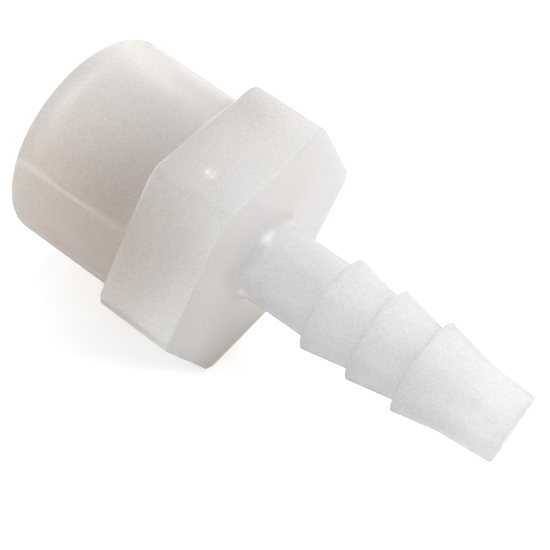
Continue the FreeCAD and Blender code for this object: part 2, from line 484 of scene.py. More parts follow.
@dataclass(frozen=True)
class Tail:
    """The stem, the three barbs and the nose, which a hose is pushed over.

    Args:
        start: place of the hexagon's front face along the axis.
        stem_root_diameter: diameter of the stem at its root.
        stem_end_diameter: diameter of the stem at the first barb.
        root_fillet: radius of the fillet at the stem's root.
        barbs: the barbs, from the stem to the nose.
        nose_length: from the last barb's foot to the tip's face.
        tip_diameter: diameter of the nose at the tip.
        tip_radius: radius of the tip's outer edge.
        bore_diameter: diameter of the bore.
        bore_chamfer: width of the chamfer at the bore's edge.
        pit: where the nose has a pit, as a share of its length.
    """

    start: float = 18.73
    stem_root_diameter: float = 6.93
    stem_end_diameter: float = 6.85
    root_fillet: float = 0.90
    barbs: tuple[Barb, ...] = (
        Barb(back=25.49, length=4.25, crest_diameter=8.54, foot_diameter=6.79),
        Barb(back=29.74, length=4.21, crest_diameter=8.35, foot_diameter=6.62),
        Barb(back=33.95, length=3.73, crest_diameter=8.32, foot_diameter=6.67),
    )
    nose_length: float = 4.58
    tip_diameter: float = 5.94
    tip_radius: float = 0.20
    bore_diameter: float = 4.30
    bore_chamfer: float = 0.20
    pit: Focus = Focus(place=0.70, width=0.07, gain=4.0)

    @property
    def root_out(self) -> float:
        """Distance from the axis at which the stem's fillet meets the hexagon's front face."""
        return self.stem_root_diameter / 2 + self.root_fillet

    @property
    def tip(self) -> float:
        """Place of the tip's face along the axis."""
        last = self.barbs[-1]
        return last.back + last.length + self.nose_length

    def outline(self) -> np.ndarray:
        """The outline from the stem's fillet over the barbs and the nose to the edge of the bore.

        Returns:
            One row for each point: place along the axis, distance from it.
        """
        fillet = self.root_fillet
        stem = (self.start + fillet, self.stem_root_diameter / 2)
        before = self.stem_end_diameter / 2
        stem_end = (self.barbs[0].back - self.barbs[0].root_radius, before)
        parts = [
            arc(stem[0], stem[1] + fillet, fillet, 180.0, 270.0, STEPS.stem_fillet),
            straight(stem, stem_end, STEPS.stem, ends_held(0.04))[1:-1],
        ]
        for barb in self.barbs:
            parts.append(barb.outline(before))
            before = barb.foot_diameter / 2
        radius = self.tip_radius
        tip_out = self.tip_diameter / 2
        nose = (self.barbs[-1].back + self.barbs[-1].length, before)
        nose_end = (self.tip - radius, tip_out)
        bore = self.bore_diameter / 2
        chamfer = (self.tip, bore + self.bore_chamfer)
        parts += [
            straight(nose, nose_end, STEPS.nose, ends_held(0.04) + (self.pit,))[:-1],
            arc(nose_end[0], tip_out - radius, radius, 90.0, 0.0, STEPS.tip_edge),
            straight((self.tip, tip_out - radius), chamfer, STEPS.tip_face)[1:],
            straight(chamfer, (self.tip - self.bore_chamfer, bore), STEPS.bore_chamfer)[1:],
        ]
        return np.concatenate(parts)


@dataclass(frozen=True)
class FlowWay:
    """The bore for the fluid and the cone that opens it into the socket.

    Args:
        tip: where the bore starts, at the tip's chamfer.
        bore_diameter: its diameter.
        corner: places along the axis of both ends of the bevel between the bore and the cone.
        bevel_rise: how far out the bevel goes.
        cone_end: place of the cone's wide end along the axis.
        cone_diameter: diameter of the wide end.
    """

    tip: float = 42.06
    bore_diameter: float = 4.30
    corner: tuple[float, float] = (16.60, 16.05)
    bevel_rise: float = 0.24
    cone_end: float = 13.00
    cone_diameter: float = 10.55

    def outline(self) -> np.ndarray:
        """The outline from the tip's chamfer back along the bore and out over the cone.

        Returns:
            One row for each point: place along the axis, distance from it.
        """
        bore = self.bore_diameter / 2
        cone = (self.corner[1], bore + self.bevel_rise)
        return np.concatenate(
            [
                straight((self.tip, bore), (self.corner[0], bore), STEPS.bore)[1:],
                straight(cone, (self.cone_end, self.cone_diameter / 2), STEPS.cone),
            ]
        )


@dataclass(frozen=True)
class PipeThread:
    """The right-handed tapered pipe thread inside the socket, with the lead-in chamfer of its mouth.

    Args:
        pitch: distance from one turn to the next.
        depth: how far in from the mouth it ends.
        crest_diameter: diameter of the crests at the mouth's face.
        height: depth of the groove.
        taper: how much the diameter falls for each unit of length.
        land: width of the flat at the crests and at the groove's bottom.
        mouth_diameter: diameter of the chamfer at the mouth's face.
        fade_end: how far before its inner end the groove is gone.
        fade_turns: how many turns the groove takes to fade.
        spare_turns: turns of the grid beyond each end, which are cut off.
        steps: places of the grid's rows within a turn.
    """

    pitch: float = 1.4111
    depth: float = 13.00
    crest_diameter: float = 11.36
    height: float = 1.13
    taper: float = 1.0 / 16.0
    land: float = 0.053
    mouth_diameter: float = 13.60
    fade_end: float = 0.20
    fade_turns: float = 1.3
    spare_turns: int = 2
    steps: tuple[float, ...] = (0.02, 0.06, 0.25, 0.44, 0.48, 0.52, 0.56, 0.75, 0.94, 0.98)

    def wall(self, along: np.ndarray, turns: np.ndarray) -> np.ndarray:
        """Distance from the axis to the thread's surface.

        The crests lie on a cone that narrows by the taper. Above them stands a groove whose depth falls in
        a straight line from its middle to the crest on either side, with a narrow land at both. Towards
        the thread's end the groove fades out. The mouth's chamfer is a 45 degree cone. The wall lies nowhere
        inside the chamfer and nowhere farther out than the mouth's edge.

        Args:
            along: places along the axis.
            turns: whole and part turns about the axis at each place.

        Returns:
            The distances.
        """
        phase = (along / self.pitch - turns) % 1.0
        from_groove = np.minimum(phase, 1.0 - phase) * self.pitch
        fall = (from_groove - self.land / 2) / (self.pitch / 2 - self.land)
        groove = 1.0 - np.clip(fall, 0.0, 1.0)
        left = np.clip((self.depth - self.fade_end - along) / (self.fade_turns * self.pitch), 0.0, 1.0)
        fade = left * left * (3.0 - 2.0 * left)
        crest = (self.crest_diameter - along * self.taper) / 2
        mouth = self.mouth_diameter / 2
        return np.clip(crest + self.height * groove * fade, mouth - along, mouth)

    def rings(self, angle: np.ndarray) -> tuple[np.ndarray, np.ndarray]:
        """The thread's surface from its inner end to the mouth.

        Each row follows the thread, so it moves one pitch along the axis in a turn, and its last column
        meets the first column of the row one turn on. Rows are cut off at both ends of the wall.

        Args:
            angle: the grid's columns in degrees.

        Returns:
            Place along the axis and distance from it, one row for each ring.
        """
        turns = (angle - angle[0]) / FULL_TURN
        whole = np.arange(-self.spare_turns, math.ceil(self.depth / self.pitch) + self.spare_turns)
        starts = (whole[:, None] + np.array(self.steps)[None, :]).ravel()[::-1]
        along = np.clip((starts[:, None] + turns[None, :]) * self.pitch, 0.0, self.depth)
        return along, self.wall(along, np.broadcast_to(turns, along.shape))


@dataclass(frozen=True)
class Spot:
    """A small round place on the surface.

    Args:
        along: its middle's place along the axis.
        angle: its middle's angle about the axis in degrees.
        out: its middle's distance from the axis.
        width: its diameter.
    """

    along: float
    angle: float
    out: float
    width: float

    def nearness(self, points: np.ndarray) -> np.ndarray:
        """Distance from its middle as a share of its radius.

        Args:
            points: points in millimetres, along the last direction of the array.

        Returns:
            The shares, which are under 1 within the spot.
        """
        turn = math.radians(self.angle)
        middle = np.array([self.along, -self.out * math.sin(turn), self.out * math.cos(turn)])
        return np.linalg.norm(points - middle, axis=-1) / (self.width / 2)


@dataclass(frozen=True)
class Dent(Spot):
    """A small round dent that the mould left in the surface.

    Args:
        depth: its depth at the middle.
        facing: angle of the surface's direction there, in degrees.
        reach: how far round the axis the grid's columns stand closer, in degrees.
        closer: how much denser they stand.
    """

    depth: float
    facing: float
    reach: float
    closer: float

    def press(self, points: np.ndarray) -> np.ndarray:
        """Presses the dent into the points near it.

        The depth falls from the middle as half a cosine wave of the distance, to nothing at the rim.

        Args:
            points: one row for each point, in millimetres.

        Returns:
            The points after pressing.
        """
        look = math.radians(self.facing)
        outward = np.array([0.0, -math.sin(look), math.cos(look)])
        share = np.clip(self.nearness(points), 0.0, 1.0)
        fall = self.depth * (1.0 + np.cos(math.pi * share)) / 2
        return points - fall[..., None] * outward


@dataclass(frozen=True)
class NylonFinish:
    """How a moulded nylon surface looks.

    Args:
        name: the material's name.
        light: colour of the clear parts.
        deep: colour where the plastic is cloudier.
        cloud_size: how many clouds fit in a metre.
        roughness: roughness of the polished parts.
        dull: roughness of the duller parts.
        skin_height: height of the finest waves of the surface, in metres.
        scatter: how far light travels in it for red, green and blue, in metres.
        see_through: share of the light that passes straight in.
        skin_gloss: weight of the smooth outermost skin.
        skin_roughness: roughness of that skin.
        depth: what the colour is multiplied by where the painted shade is darkest.
        shade_warmth: what it is multiplied by where the painted warm shade is full.
        grain: how much the finest grain changes the colour, as a share of it.
    """

    name: str
    light: tuple[float, float, float] = (0.985, 0.985, 0.985)
    deep: tuple[float, float, float] = (0.965, 0.965, 0.96)
    cloud_size: float = 130.0
    roughness: float = 0.58
    dull: float = 0.68
    skin_height: float = 0.000012
    scatter: tuple[float, float, float] = (0.0160, 0.0150, 0.0140)
    see_through: float = 0.58
    skin_gloss: float = 0.3
    skin_roughness: float = 0.14
    # Painted shade: the colour is multiplied by this where the shade is darkest.
    depth: tuple[float, float, float] = (0.760, 0.764, 0.768)
    # Painted warm shade: the colour is multiplied by this where the warm shade is full.
    shade_warmth: tuple[float, float, float] = (1.0, 0.905, 0.83)
    grain: float = 0.085


@dataclass(frozen=True)
class PaintedShade:
    """Where painted shade darkens the plastic and painted warm shade tints it, by the place on the fitting.

    Args:
        stops: share of the length from the mouth, and how dark the painted shade is there, from 0 to 1; it
            loosely follows where the plastic is thicker.
        shaded_underside: heights between which the painted shade and the painted warm shade go from full to
            none, in metres.
        towards_socket: places along the axis between which the painted warm shade goes from full to none, in
            metres.
        downwards: heights between which the painted warm shade goes from full to its share on top, in metres.
        on_top: the painted warm shade's share on top.
    """

    # Painted shade along the axis: darkest on the socket by the hexagon, palest at the tip.
    stops: tuple[tuple[float, float], ...] = (
        (0.0, 0.55),
        (0.07, 0.64),
        (0.22, 1.0),
        (0.28, 1.0),
        (0.33, 0.88),
        (0.435, 0.90),
        (0.465, 0.42),
        (0.80, 0.46),
        (1.0, 0.20),
    )
    # Painted shade: darker and warmer towards the bottom.
    shaded_underside: tuple[float, float] = (-0.0100, -0.0030)
    # Painted warm shade: full on the socket's lower side, fading towards the hexagon's front and upwards.
    towards_socket: tuple[float, float] = (0.0110, 0.0182)
    downwards: tuple[float, float] = (0.0035, 0.0092)
    on_top: float = 0.30


@dataclass(frozen=True)
class Patterns:
    """The patterns in the plastic and in its skin.

    Args:
        fine_clouds: how many of the finer clouds fit in a metre.
        fine_share: how much they add to the broad ones.
        cloud_range: values of both between which the plastic goes from clear to cloudy.
        grain: how many grains of the plastic fit in a metre.
        waves: how many waves of the skin fit in a metre.
        skin_grain: how many grains of the skin fit in a metre.
        skin_share: how much they add to the waves.
        draw_marks: how many of the mould's draw marks fit in a metre, round the axis.
        drawn: what the coordinates are multiplied by for them, which draws them out along the axis.
        dull_range: values of the draw marks between which the skin goes from polished to dull.
    """

    fine_clouds: float = 900.0
    fine_share: float = 0.25
    cloud_range: tuple[float, float] = (0.42, 0.85)
    grain: float = 5600.0
    waves: float = 700.0
    skin_grain: float = 5200.0
    skin_share: float = 0.35
    draw_marks: float = 2600.0
    drawn: tuple[float, float, float] = (0.06, 1.0, 1.0)
    dull_range: tuple[float, float] = (0.45, 0.75)


@dataclass(frozen=True)
class FloorFinish:
    """How the floor looks: its colour, and the white added to it.

    Args:
        name: the material's name.
        colour: its colour.
        seen: white added where the camera sees it near the object.
        seen_far: white added where the camera sees it beyond the lamps' light.
        fading: distances from the object between which it goes from one to the other, in metres.
        mirrored: white added where a surface reflects it.
        through: white added where it shows through the plastic.
    """

    name: str = "pale_floor"
    colour: tuple[float, float, float] = (0.80, 0.80, 0.80)
    seen: float = 0.55
    seen_far: float = 1.0
    fading: tuple[float, float] = (0.12, 0.45)
    mirrored: float = 0.22
    through: float = 0.60


# What an input takes: another node's output, a number, or a colour or vector.
Value = bpy.types.NodeSocket | float | tuple[float, ...]


class Wiring:
    """Adds nodes to a node tree and joins their sockets."""

    ROW_LENGTH: int = 8
    SPACING: tuple[float, float] = (220.0, -260.0)
    NOISE_ROUGHNESS: float = 0.55

    def __init__(self, tree: bpy.types.NodeTree) -> None:
        """Starts on an emptied tree.

        Args:
            tree: the tree to fill.
        """
        self.tree = tree
        tree.nodes.clear()

    def node(self, kind: str, label: str, **settings: object) -> bpy.types.Node:
        """Adds a node, and sets the nodes out in rows.

        Args:
            kind: the node's type.
            label: its label, in plain words.
            settings: properties of the node, by name.

        Returns:
            The node.
        """
        made = self.tree.nodes.new(kind)
        made.label = label
        made.name = label
        for name, value in settings.items():
            setattr(made, name, value)
        row, column = divmod(len(self.tree.nodes), self.ROW_LENGTH)
        made.location = (self.SPACING[0] * column, self.SPACING[1] * row)
        return made

    def feed(self, value: Value, target: bpy.types.NodeSocket) -> None:
        """Joins an output to an input, or sets the input where the value is a number or a colour.

        Args:
            value: the output, the number or the colour.
            target: the input.
        """
        if isinstance(value, bpy.types.NodeSocket):
            self.tree.links.new(value, target)
        else:
            target.default_value = value

    def maths(self, label: str, operation: str, *values: Value) -> bpy.types.NodeSocket:
        """Adds a calculation and returns its result.

        Args:
            label: the node's label.
            operation: the kind of calculation.
            values: what it works with, as numbers or as the outputs that give them.

        Returns:
            The output socket.
        """
        made = self.node("ShaderNodeMath", label, operation=operation)
        for value, target in zip(values, made.inputs):
            self.feed(value, target)
        return made.outputs[0]

    def noise(
        self, label: str, vector: bpy.types.NodeSocket, scale: float, detail: float
    ) -> bpy.types.NodeSocket:
        """Adds a noise pattern and returns its value, from 0 to 1.

        Args:
            label: the node's label.
            vector: the coordinates that it reads.
            scale: how many features fit in a metre.
            detail: how many finer layers it has.

        Returns:
            The output socket.
        """
        made = self.node("ShaderNodeTexNoise", label)
        self.feed(scale, made.inputs["Scale"])
        self.feed(detail, made.inputs["Detail"])
        self.feed(self.NOISE_ROUGHNESS, made.inputs["Roughness"])
        self.feed(vector, made.inputs["Vector"])
        return made.outputs["Fac"]

    def blend(self, label: str, way: str, share: Value, under: Value, over: Value) -> bpy.types.NodeSocket:
        """Blends a colour over another.

        Args:
            label: the node's label.
            way: the name of the blend.
            share: how much of the second colour shows.
            under: the first colour, or the output that gives it.
            over: the second colour.

        Returns:
            The output socket.
        """
        made = self.node("ShaderNodeMix", label, data_type="RGBA", blend_type=way)
        self.feed(share, made.inputs["Factor"])
        for value, target in ((under, made.inputs["A"]), (over, made.inputs["B"])):
            self.feed((*value, 1.0) if isinstance(value, tuple) else value, target)
        return made.outputs["Result"]

    def ranged(
        self, label: str, value: bpy.types.NodeSocket, start: tuple[float, float], result: tuple[Value, Value]
    ) -> bpy.types.NodeSocket:
        """Maps a value smoothly from one range to another.

        Args:
            label: the node's label.
            value: the value that it reads.
            start: lower and upper end of the value.
            result: what it gives at the lower and at the upper end.

        Returns:
            The output socket.
        """
        made = self.node("ShaderNodeMapRange", label, interpolation_type="SMOOTHSTEP")
        self.feed(value, made.inputs["Value"])
        self.feed(start[0], made.inputs["From Min"])
        self.feed(start[1], made.inputs["From Max"])
        self.feed(result[0], made.inputs["To Min"])
        self.feed(result[1], made.inputs["To Max"])
        return made.outputs["Result"]


def open_group(
    name: str, inputs: dict[str, float], outputs: tuple[str, ...]
) -> tuple[Wiring, bpy.types.Node, bpy.types.Node]:
    """Makes an empty shader group with a vector input, number inputs and number outputs.

    Args:
        name: the group's name.
        inputs: its number inputs and their default values.
        outputs: its number outputs.

    Returns:
        The wiring of its tree, its input node and its output node.
    """
    tree = bpy.data.node_groups.new(name, "ShaderNodeTree")
    tree.interface.new_socket(name="Place", in_out="INPUT", socket_type="NodeSocketVector")
    for label, value in inputs.items():
        socket = tree.interface.new_socket(name=label, in_out="INPUT", socket_type="NodeSocketFloat")
        socket.default_value = value
    for label in outputs:
        tree.interface.new_socket(name=label, in_out="OUTPUT", socket_type="NodeSocketFloat")
    wiring = Wiring(tree)
    return wiring, wiring.node("NodeGroupInput", "in"), wiring.node("NodeGroupOutput", "out")


def make_cloud_group(patterns: Patterns = Patterns()) -> bpy.types.NodeTree:
    """Shader group: the cloudiness of the plastic, from 0 clear to 1 cloudy, and its finest grain.

    Args:
        patterns: the patterns in the plastic.

    Returns:
        The group.
    """
    wiring, inward, outward = open_group("plastic_clouds", {"Scale": 130.0}, ("Cloud", "Grain"))
    place = inward.outputs["Place"]
    broad = wiring.node("ShaderNodeTexNoise", "broad clouds")
    wiring.feed(2.0, broad.inputs["Detail"])
    wiring.feed(place, broad.inputs["Vector"])
    wiring.feed(inward.outputs["Scale"], broad.inputs["Scale"])
    fine = wiring.noise("fine clouds", place, patterns.fine_clouds, 3.0)
    wiring.feed(wiring.noise("grain", place, patterns.grain, 1.0), outward.inputs["Grain"])
    both = wiring.maths("both clouds", "MULTIPLY_ADD", fine, patterns.fine_share, broad.outputs["Fac"])
    wiring.feed(wiring.ranged("cloud", both, patterns.cloud_range, (0.0, 1.0)), outward.inputs["Cloud"])
    return wiring.tree


def make_skin_group(patterns: Patterns = Patterns()) -> bpy.types.NodeTree:
    """Shader group: the moulded skin, with the height of its waves and a mask of its duller parts.

    Args:
        patterns: the patterns in the skin.

    Returns:
        The group.
    """
    wiring, inward, outward = open_group("moulded_skin", {"Waves": patterns.waves}, ("Height", "Dull"))
    place = inward.outputs["Place"]
    waves = wiring.node("ShaderNodeTexNoise", "waves")
    wiring.feed(3.0, waves.inputs["Detail"])
    wiring.feed(place, waves.inputs["Vector"])
    wiring.feed(inward.outputs["Waves"], waves.inputs["Scale"])
    grain = wiring.noise("grain", place, patterns.skin_grain, 2.0)
    height = wiring.maths("height", "MULTIPLY_ADD", grain, patterns.skin_share, waves.outputs["Fac"])
    wiring.feed(height, outward.inputs["Height"])
    drawn = wiring.node("ShaderNodeMapping", "drawn along the axis")
    wiring.feed(patterns.drawn, drawn.inputs["Scale"])
    wiring.feed(place, drawn.inputs["Vector"])
    rub = wiring.noise("draw marks", drawn.outputs["Vector"], patterns.draw_marks, 3.0)
    wiring.feed(wiring.ranged("dull", rub, patterns.dull_range, (0.0, 1.0)), outward.inputs["Dull"])
    return wiring.tree


def make_painted_shade_group(painted_shade: PaintedShade = PaintedShade()) -> bpy.types.NodeTree:
    """Shader group: painted shade along the axis and underneath, and painted warm shade, each from 0 to 1.

    Args:
        painted_shade: where the painted shade and the painted warm shade fall.

    Returns:
        The group.
    """
    wiring, inward, outward = open_group("painted_shade", {"Top": painted_shade.on_top}, ("Shade", "Warm shade"))
    split = wiring.node("ShaderNodeSeparateXYZ", "split")
    wiring.feed(inward.outputs["Place"], split.inputs["Vector"])
    along = split.outputs["X"]
    up = split.outputs["Z"]
    # Painted shade along the axis.
    ramp = wiring.node("ShaderNodeValToRGB", "darkening")
    ramp.color_ramp.interpolation = "EASE"
    while len(ramp.color_ramp.elements) < len(painted_shade.stops):
        ramp.color_ramp.elements.new(0.5)
    for stop, (spot, darkening) in zip(ramp.color_ramp.elements, painted_shade.stops):
        stop.position = spot
        stop.color = (darkening, darkening, darkening, 1.0)
    wiring.feed(wiring.maths("share of the length", "DIVIDE", along, CAD_BOX[1][0]), ramp.inputs["Fac"])
    # Painted shade, darker and warmer towards the bottom.
    shaded_underside = wiring.ranged("shaded_underside", up, painted_shade.shaded_underside, (1.0, 0.0))
    darkest = wiring.maths("darkest", "MAXIMUM", ramp.outputs["Color"], shaded_underside)
    wiring.feed(darkest, outward.inputs["Shade"])
    # Painted warm shade on the socket and the hexagon, stronger lower down.
    towards_socket = wiring.ranged("towards the socket", along, painted_shade.towards_socket, (1.0, 0.0))
    downwards = wiring.ranged("downwards", up, painted_shade.downwards, (1.0, inward.outputs["Top"]))
    warm_shade = wiring.maths("warm_shade", "MULTIPLY", towards_socket, downwards)
    wiring.feed(wiring.maths("warmest shade", "MAXIMUM", warm_shade, shaded_underside), outward.inputs["Warm shade"])
    return wiring.tree


def add_group(wiring: Wiring, tree: bpy.types.NodeTree, place: bpy.types.NodeSocket) -> bpy.types.Node:
    """Places a shader group in a material and feeds it the coordinates.

    Args:
        wiring: the material's wiring.
        tree: the group.
        place: the coordinates.

    Returns:
        The group's node.
    """
    made = wiring.node("ShaderNodeGroup", tree.name)
    made.node_tree = tree
    wiring.feed(place, made.inputs["Place"])
    return made


def by_ray(wiring: Wiring, strengths: dict[str, Value], other: float) -> bpy.types.NodeSocket:
    """A strength that depends on the kind of ray: other, unless the ray is of a kind that is listed.

    Args:
        wiring: the material's wiring.
        strengths: the strength for each output of a Light Path node, as a number or as its output.
        other: the strength for all other rays.

    Returns:
        The output socket.
    """
    path = wiring.node("ShaderNodeLightPath", "path")
    result = other
    for kind, strength in strengths.items():
        step = wiring.node("ShaderNodeMix", kind, data_type="FLOAT")
        wiring.feed(result, step.inputs["A"])
        wiring.feed(strength, step.inputs["B"])
        wiring.feed(path.outputs[kind], step.inputs["Factor"])
        result = step.outputs["Result"]
    return result


@dataclass
class NylonMaker:
    """Makes the nylon materials from their finishes, with the shader groups that they share.

    Args:
        clouds: the group for the clouds and the grain in the plastic.
        skin: the group for its moulded skin.
        painted_shade: the group for its painted shade and its painted warm shade.
        grain_range: values of the grain between which it has its full effect.
    """

    clouds: bpy.types.NodeTree = field(default_factory=make_cloud_group)
    skin: bpy.types.NodeTree = field(default_factory=make_skin_group)
    painted_shade: bpy.types.NodeTree = field(default_factory=make_painted_shade_group)
    grain_range: tuple[float, float] = (0.2, 0.8)

    def make(self, finish: NylonFinish) -> bpy.types.Material:
        """Makes one material.

        Args:
            finish: how it looks.

        Returns:
            The material.
        """
        material = bpy.data.materials.new(finish.name)
        material.use_nodes = True
        wiring = Wiring(material.node_tree)
        result = wiring.node("ShaderNodeOutputMaterial", "result")
        plastic = wiring.node("ShaderNodeBsdfPrincipled", "nylon")
        place = wiring.node("ShaderNodeTexCoord", "place").outputs["Object"]
        clouds = add_group(wiring, self.clouds, place)
        wiring.feed(finish.cloud_size, clouds.inputs["Scale"])
        skin = add_group(wiring, self.skin, place)
        painted_shade = add_group(wiring, self.painted_shade, place)
        colour = wiring.blend("clouds", "MIX", clouds.outputs["Cloud"], finish.light, finish.deep)
        # Painted shade: darker along the socket and the hexagon, and towards the bottom.
        colour = wiring.blend("depth", "MULTIPLY", painted_shade.outputs["Shade"], colour, finish.depth)
        # Painted warm shade: warmer on the socket, the hexagon and underneath.
        colour = wiring.blend("shade_warmth", "MULTIPLY", painted_shade.outputs["Warm shade"], colour, finish.shade_warmth)
        change = (1.0 - finish.grain, 1.0 + finish.grain)
        grain = wiring.ranged("grain", clouds.outputs["Grain"], self.grain_range, change)
        grained = wiring.node("ShaderNodeVectorMath", "grained", operation="SCALE")
        wiring.feed(colour, grained.inputs[0])
        wiring.feed(grain, grained.inputs["Scale"])
        bump = wiring.node("ShaderNodeBump", "skin")
        wiring.feed(finish.skin_height, bump.inputs["Distance"])
        wiring.feed(skin.outputs["Height"], bump.inputs["Height"])
        dull = wiring.ranged("roughness", skin.outputs["Dull"], (0.0, 1.0), (finish.roughness, finish.dull))
        longest = max(finish.scatter)
        settings = {
            "Base Color": grained.outputs["Vector"],
            "Roughness": dull,
            "Normal": bump.outputs["Normal"],
            "IOR": NYLON_IOR,
            "Transmission Weight": finish.see_through,
            "Coat Weight": finish.skin_gloss,
            "Coat Roughness": finish.skin_roughness,
            "Coat IOR": NYLON_IOR,
            "Subsurface Weight": 1.0,
            "Subsurface Scale": longest,
            "Subsurface Radius": tuple(reach / longest for reach in finish.scatter),
        }
        for name, value in settings.items():
            wiring.feed(value, plastic.inputs[name])
        wiring.feed(plastic.outputs["BSDF"], result.inputs["Surface"])
        return material


NYLON = NylonFinish("natural_nylon_outside")
FINISHES = {
    Skin.OUTSIDE: NYLON,
    Skin.INSIDE: replace(
        NYLON,
        name="natural_nylon_inside",
        roughness=0.60,
        dull=0.70,
        skin_height=0.000018,
        scatter=(0.0050, 0.0048, 0.0046),
        see_through=0.45,
    ),
    # Paler plastic for the gate's mark, partly a painted highlight, and for the painted highlight at the
    # stem's root.
    Skin.WHITENED_AND_HIGHLIT: replace(NYLON, name="whitened_and_highlit_nylon", see_through=0.40, scatter=(0.0065, 0.0065, 0.0065)),
}


@dataclass
class Fitting:
    """The whole moulding: one closed surface, round the outside and back through the bore and the thread.

    Args:
        socket: the round socket.
        hexagon: the wrench hexagon.
        tail: the stem, the barbs and the nose.
        flow_way: the bore and the cone.
        thread: the pipe thread.
        dents: the gate's mark, the pit on the nose and the pit on the socket.
        whitened_and_highlit: whiter plastic on the gate's mark, which also stands in for a highlight there,
            and a painted highlight at the stem's root.
    """

    socket: Socket = field(default_factory=Socket)
    hexagon: Hexagon = field(default_factory=Hexagon)
    tail: Tail = field(default_factory=Tail)
    flow_way: FlowWay = field(default_factory=FlowWay)
    thread: PipeThread = field(default_factory=PipeThread)
    dents: tuple[Dent, ...] = (
        Dent(along=15.20, angle=18.4, out=10.87, width=1.15, depth=0.10, facing=0.0, reach=2.2, closer=3.0),
        Dent(along=40.89, angle=49.5, out=3.08, width=0.55, depth=0.07, facing=49.5, reach=3.5, closer=1.6),
        Dent(along=9.99, angle=64.3, out=9.28, width=0.36, depth=0.05, facing=64.3, reach=1.0, closer=5.0),
    )
    whitened_and_highlit: tuple[Spot, ...] = (
        # Whiter plastic on the gate's mark, which also paints a highlight there.
        Spot(along=15.20, angle=18.4, out=10.87, width=1.0),
        # A painted highlight on the fillet at the stem's root.
        Spot(along=19.09, angle=12.2, out=3.65, width=1.3),
    )

    def surface(self) -> tuple[np.ndarray, np.ndarray]:
        """All rings of the grid, in order, from the socket's opening over the outside and back inside.

        A point is its place along the axis, minus its distance times the sine of the angle, and its
        distance times the cosine.

        Returns:
            The points by ring and column, in millimetres, and the number of each ring's skin.
        """
        focus = tuple(Focus(dent.angle, dent.reach, dent.closer) for dent in self.dents)
        angle = self.hexagon.columns(focus)
        columns = len(angle)
        outside = (
            turned(self.socket.outline(), columns),
            self.hexagon.rings(angle, self.socket.neck_out, self.tail.root_out),
            turned(self.tail.outline(), columns),
        )
        inside = (turned(self.flow_way.outline(), columns), self.thread.rings(angle))
        along, out = (np.concatenate(parts) for parts in zip(*outside, *inside))
        turn = np.radians(angle % FULL_TURN)
        points = np.stack([along, -out * np.sin(turn), out * np.cos(turn)], axis=2)
        outer = sum(len(rows) for rows, _ in outside)
        for dent in self.dents:
            points[:outer] = dent.press(points[:outer])
        skins = np.full(len(points), Skin.INSIDE.value)
        skins[:outer] = Skin.OUTSIDE.value
        return points, skins

    def build(self) -> bpy.types.Object:
        """Makes the mesh: a face between each ring and the next, the last ring joined to the first.

        A face has its ring's skin, unless its middle lies in one of the spots of whiter plastic and painted
        highlight. The seam at the first column and the rows that the thread's ends cut off are then welded.

        Returns:
            The object.
        """
        points, ring_skins = self.surface()
        rings, columns, _ = points.shape
        number = np.arange(rings * columns).reshape(rings, columns)
        following = np.roll(number, -1, axis=0)
        quads = np.stack([number[:, :-1], number[:, 1:], following[:, 1:], following[:, :-1]], axis=2)
        quads = quads.reshape(-1, 4)
        points = points.reshape(-1, 3)
        middles = points[quads].mean(axis=1)
        skins = np.repeat(ring_skins, columns - 1)
        for spot in self.whitened_and_highlit:
            skins[spot.nearness(middles) < 1.0] = Skin.WHITENED_AND_HIGHLIT.value
        mesh = bpy.data.meshes.new("moulded_fitting")
        mesh.from_pydata((points * MILLIMETRE).tolist(), [], quads.tolist())
        mesh.polygons.foreach_set("material_index", skins.astype(np.int32))
        self.weld(mesh)
        piece = bpy.data.objects.new("moulded_fitting", mesh)
        bpy.context.scene.collection.objects.link(piece)
        return piece

    @staticmethod
    def weld(mesh: bpy.types.Mesh) -> None:
        """Welds points that coincide, turns the faces outwards and shades them smooth.

        Args:
            mesh: the mesh to weld.
        """
        work = bmesh.new()
        work.from_mesh(mesh)
        bmesh.ops.remove_doubles(work, verts=work.verts, dist=WELD_DISTANCE)
        if work.calc_volume(signed=True) < 0.0:
            bmesh.ops.reverse_faces(work, faces=work.faces)
        for face in work.faces:
            face.smooth = True
        work.to_mesh(mesh)
        work.free()
        mesh.update()

    def dress(self, piece: bpy.types.Object) -> None:
        """Gives the piece its materials and its place in the frame.

        Args:
            piece: the fitting's object.
        """
        maker = NylonMaker()
        for skin in Skin:
            piece.data.materials.append(maker.make(FINISHES[skin]))
        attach(piece, "root")
        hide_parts("barb_fitting")


@dataclass(frozen=True)
class SoftBox:
    """A rectangular white lamp that faces its aim.

    Args:
        name: its name.
        azimuth: its direction from the aim, in degrees from +X towards +Y.
        elevation: its direction above the level, in degrees.
        power: its power in watts.
        distance: how far it stands from the aim, in metres.
        size: its width and height, in metres.
        aim: the place that it faces, in metres.
        only_gloss: whether it shows in reflections alone.
    """

    name: str
    azimuth: float
    elevation: float
    power: float
    distance: float = 0.60
    size: tuple[float, float] = (0.35, 0.35)
    aim: tuple[float, float, float] = (0.02, 0.0, 0.0)
    only_gloss: bool = False

    @property
    def place(self) -> Vector:
        """Where the lamp stands: its aim, plus its distance in its direction.

        Returns:
            The place in metres.
        """
        azimuth = math.radians(self.azimuth)
        elevation = math.radians(self.elevation)
        level = math.cos(elevation)
        way = Vector((level * math.cos(azimuth), level * math.sin(azimuth), math.sin(elevation)))
        return Vector(self.aim) + way * self.distance

    def make(self) -> bpy.types.Object:
        """Makes the lamp, turned from its place to its aim and hidden from the camera.

        Returns:
            The lamp.
        """
        data = bpy.data.lights.new(self.name, "AREA")
        data.shape = "RECTANGLE"
        data.size, data.size_y = self.size
        data.energy = self.power
        lamp = bpy.data.objects.new(self.name, data)
        lamp.location = self.place
        lamp.rotation_mode = "QUATERNION"
        lamp.rotation_quaternion = (Vector(self.aim) - self.place).to_track_quat("-Z", "Y")
        lamp.visible_camera = False
        lamp.visible_diffuse = not self.only_gloss
        lamp.visible_transmission = not self.only_gloss
        bpy.context.scene.collection.objects.link(lamp)
        return lamp


